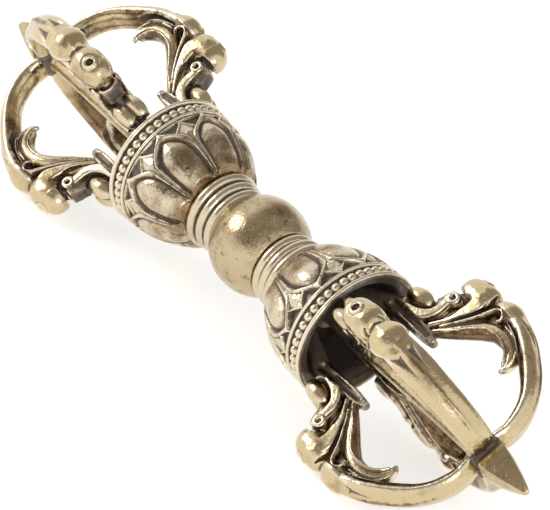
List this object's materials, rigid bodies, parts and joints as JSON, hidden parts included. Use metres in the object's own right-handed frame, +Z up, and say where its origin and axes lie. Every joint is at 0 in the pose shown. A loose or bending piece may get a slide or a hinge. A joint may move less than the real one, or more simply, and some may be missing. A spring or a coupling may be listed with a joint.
{
  "type": "dorje vajra",
  "caption": "Double-ended brass ritual sceptre with a ball hub, ringed necks, petalled lotus cups with beaded rims, and cages of curved ornate prongs round pointed finials.",
  "frame": {"origin": "centre of the hub ball, which is the centre of the bounding box", "axes": "+X along the sceptre, +Z up with the sceptre lying on two prongs at each end, +Y away from the viewer"},
  "size_m": [0.1, 0.0228, 0.0228],
  "materials": {
    "hub_brass": "polished brass with fine casting pits and brown patina",
    "ring_brass": "polished brass with dark patina in the grooves",
    "cup_brass": "antique brass with dark patina in the relief",
    "rim_brass": "antique brass with dark patina between the beads",
    "prong_brass": "antique brass, bright on the crests and dark in the grooves",
    "finial_brass": "antique brass",
    "core_brass": "plain unpolished brass, hidden"
  },
  "bodies": {
    "root": {"core_rod": "core_brass", "hub_sphere": "hub_brass", "left_inner_ring": "ring_brass", "left_middle_ring": "ring_brass", "left_outer_ring": "ring_brass", "right_inner_ring": "ring_brass", "right_middle_ring": "ring_brass", "right_outer_ring": "ring_brass", "left_lotus_cup": "cup_brass", "right_lotus_cup": "cup_brass", "left_bead_rim": "rim_brass", "right_bead_rim": "rim_brass", "left_prong_boss": "core_brass", "right_prong_boss": "core_brass", "left_center_prong": "finial_brass", "right_center_prong": "finial_brass", "left_prong_front_top": "prong_brass", "left_prong_front_bottom": "prong_brass", "left_prong_back_top": "prong_brass", "left_prong_back_bottom": "prong_brass", "right_prong_front_top": "prong_brass", "right_prong_front_bottom": "prong_brass", "right_prong_back_top": "prong_brass", "right_prong_back_bottom": "prong_brass"}
  },
  "joints": []
}
